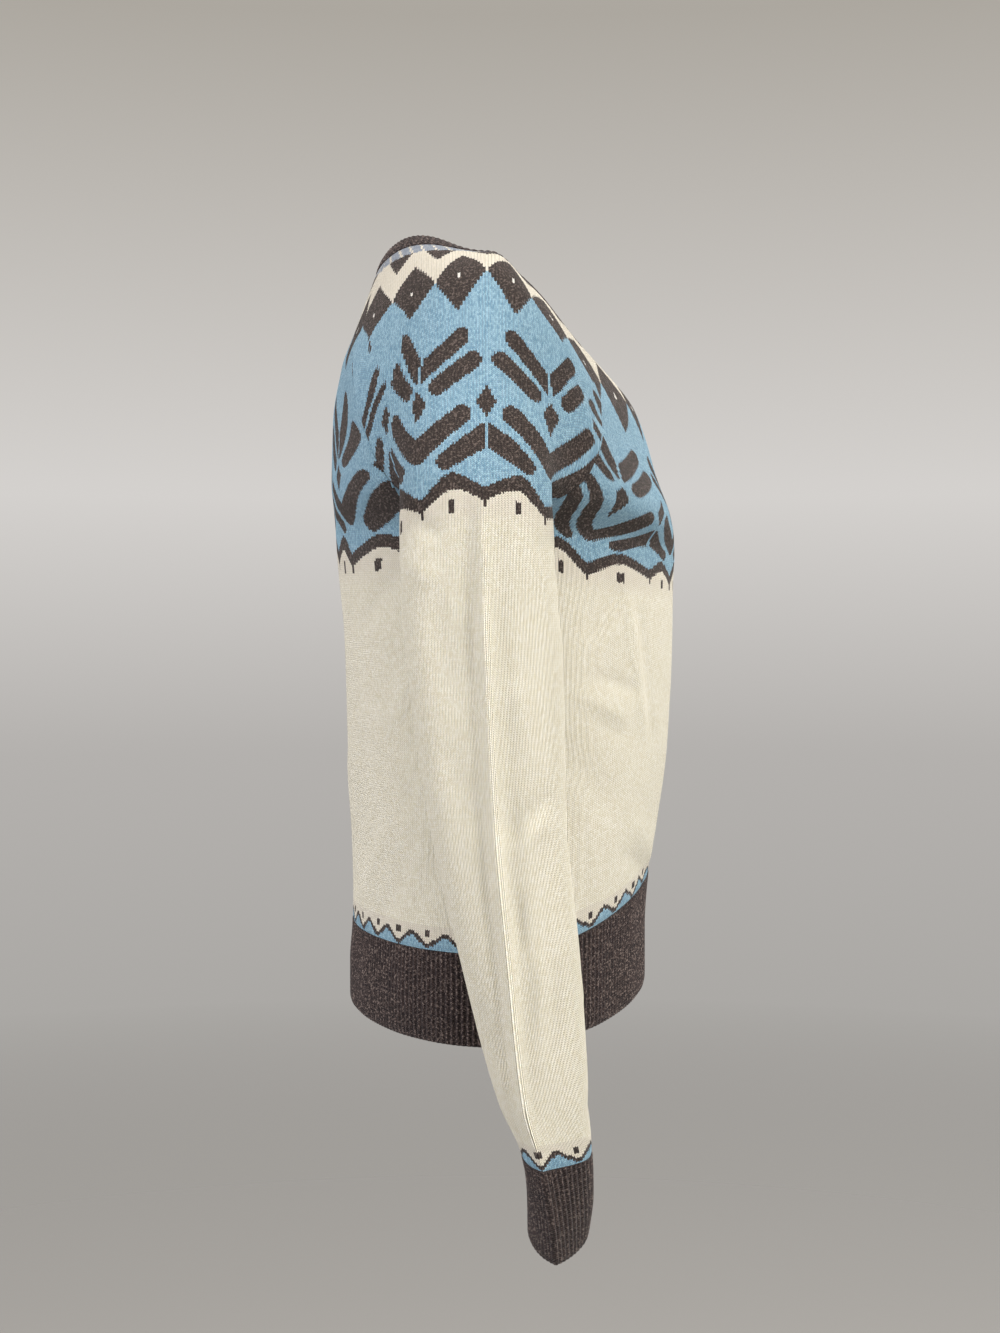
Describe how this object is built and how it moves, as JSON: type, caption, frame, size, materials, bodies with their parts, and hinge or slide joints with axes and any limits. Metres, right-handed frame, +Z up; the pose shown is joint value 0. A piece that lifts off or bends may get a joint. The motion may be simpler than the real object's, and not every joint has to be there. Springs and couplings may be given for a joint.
{
  "type": "fair isle sweater",
  "caption": "Raglan pullover sweater in open worn form, knitted as a patterned yoke over a plain body, with ribbed neck edge, hem and cuffs.",
  "frame": {"origin": "midway between the shoulders, level with the top of the neck edge", "axes": "-Y the wearer's front, +Y their back, -X their right, +Z up"},
  "size_m": [0.452, 0.279, 0.7571],
  "materials": {
    "patterned_knit": "wool stocking stitch in cream, light blue and brown, matt and slightly fuzzy",
    "marl_rib": "brown marl wool in one by one rib, matt and slightly fuzzy"
  },
  "bodies": {
    "root": {"front": "patterned_knit", "back": "patterned_knit", "sleeve_right": "patterned_knit", "sleeve_left": "patterned_knit", "neckband": "marl_rib", "hem_rib_front": "marl_rib", "hem_rib_back": "marl_rib", "cuff_right": "marl_rib", "cuff_left": "marl_rib"}
  },
  "joints": []
}
